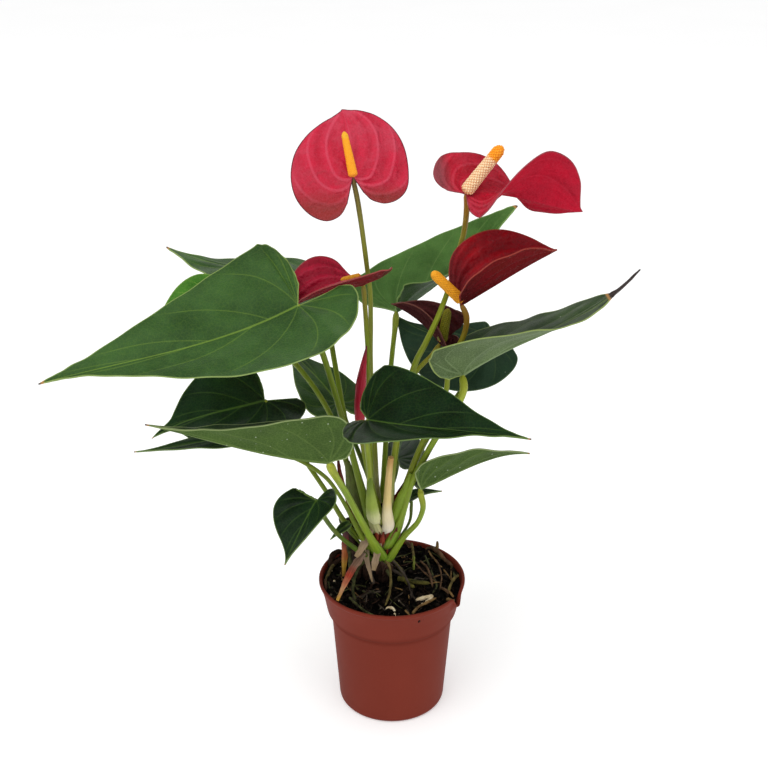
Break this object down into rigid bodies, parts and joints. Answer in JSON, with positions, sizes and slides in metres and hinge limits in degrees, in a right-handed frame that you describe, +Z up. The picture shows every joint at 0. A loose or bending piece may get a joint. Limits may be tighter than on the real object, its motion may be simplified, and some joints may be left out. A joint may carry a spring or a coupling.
{
  "type": "potted anthurium plant",
  "caption": "Flowering anthurium in a thin round nursery pot, with heart-shaped leaves on long stalks and red spathes around yellow spadices.",
  "frame": {"origin": "centre of the pot's base on the surface that it stands on", "axes": "+Z up; -Y is the side that the picture shows; +X is to the right in it"},
  "size_m": [0.3754, 0.1997, 0.4305],
  "materials": {
    "pot_plastic": "thin moulded plastic, matt terracotta red",
    "potting_soil": "moist dark peat and bark, rough",
    "crown_skin": "dry brown sheath remains around a green stem, matt",
    "leaf_dark": "dark green leaf, satin gloss with paler veins",
    "leaf_mid": "mid green leaf, satin sheen with paler veins and underside",
    "leaf_bright": "young bright green leaf, satin",
    "stalk_green": "smooth yellow-green stalk, satin",
    "sheath_tan": "dry tan sheath with a white foot, matt",
    "spathe_red": "waxy red spathe with embossed veins, glossy",
    "spathe_maroon": "old dark maroon spathe, satin",
    "spadix_yellow": "yellow-orange spadix with fine bumps, matt",
    "bract_red": "papery bract from maroon to yellow, matt",
    "root_olive": "olive and grey aerial root, matt"
  },
  "bodies": {
    "root": {"pot": "pot_plastic", "soil": "potting_soil", "crown_stem": "crown_skin", "leaf_01": "leaf_mid", "leaf_02": "leaf_dark", "leaf_03": "leaf_bright", "leaf_04": "leaf_mid", "leaf_05": "leaf_dark", "leaf_06": "leaf_dark", "leaf_07": "leaf_dark", "leaf_08": "leaf_mid", "leaf_09": "leaf_dark", "leaf_10": "leaf_dark", "leaf_11": "leaf_mid", "leaf_12": "leaf_dark", "leaf_13": "leaf_dark", "leaf_14": "leaf_dark", "leaf_15": "leaf_dark", "leaf_16": "leaf_mid", "leaf_stalk_01": "stalk_green", "leaf_stalk_02": "stalk_green", "leaf_stalk_03": "stalk_green", "leaf_stalk_04": "stalk_green", "leaf_stalk_05": "stalk_green", "leaf_stalk_06": "stalk_green", "leaf_stalk_07": "stalk_green", "leaf_stalk_08": "stalk_green", "leaf_stalk_09": "stalk_green", "leaf_stalk_10": "stalk_green", "leaf_stalk_11": "stalk_green", "leaf_stalk_12": "stalk_green", "leaf_stalk_13": "stalk_green", "leaf_stalk_14": "stalk_green", "leaf_stalk_15": "stalk_green", "leaf_stalk_16": "stalk_green", "spathe_1": "spathe_red", "spathe_2": "spathe_red", "spathe_3": "spathe_red", "spathe_4": "spathe_red", "spathe_5": "spathe_maroon", "flower_stalk_1": "stalk_green", "flower_stalk_2": "stalk_green", "flower_stalk_3": "stalk_green", "flower_stalk_4": "stalk_green", "flower_stalk_5": "stalk_green", "spadix_1": "spadix_yellow", "spadix_2": "spadix_yellow", "spadix_3": "spadix_yellow", "spadix_4": "spadix_yellow", "spadix_5": "spadix_yellow", "bud": "spathe_red", "bud_stalk": "stalk_green", "cut_stub": "sheath_tan", "bract_1": "bract_red", "bract_2": "bract_red", "root_1": "root_olive", "root_2": "root_olive", "root_3": "root_olive"}
  },
  "joints": []
}
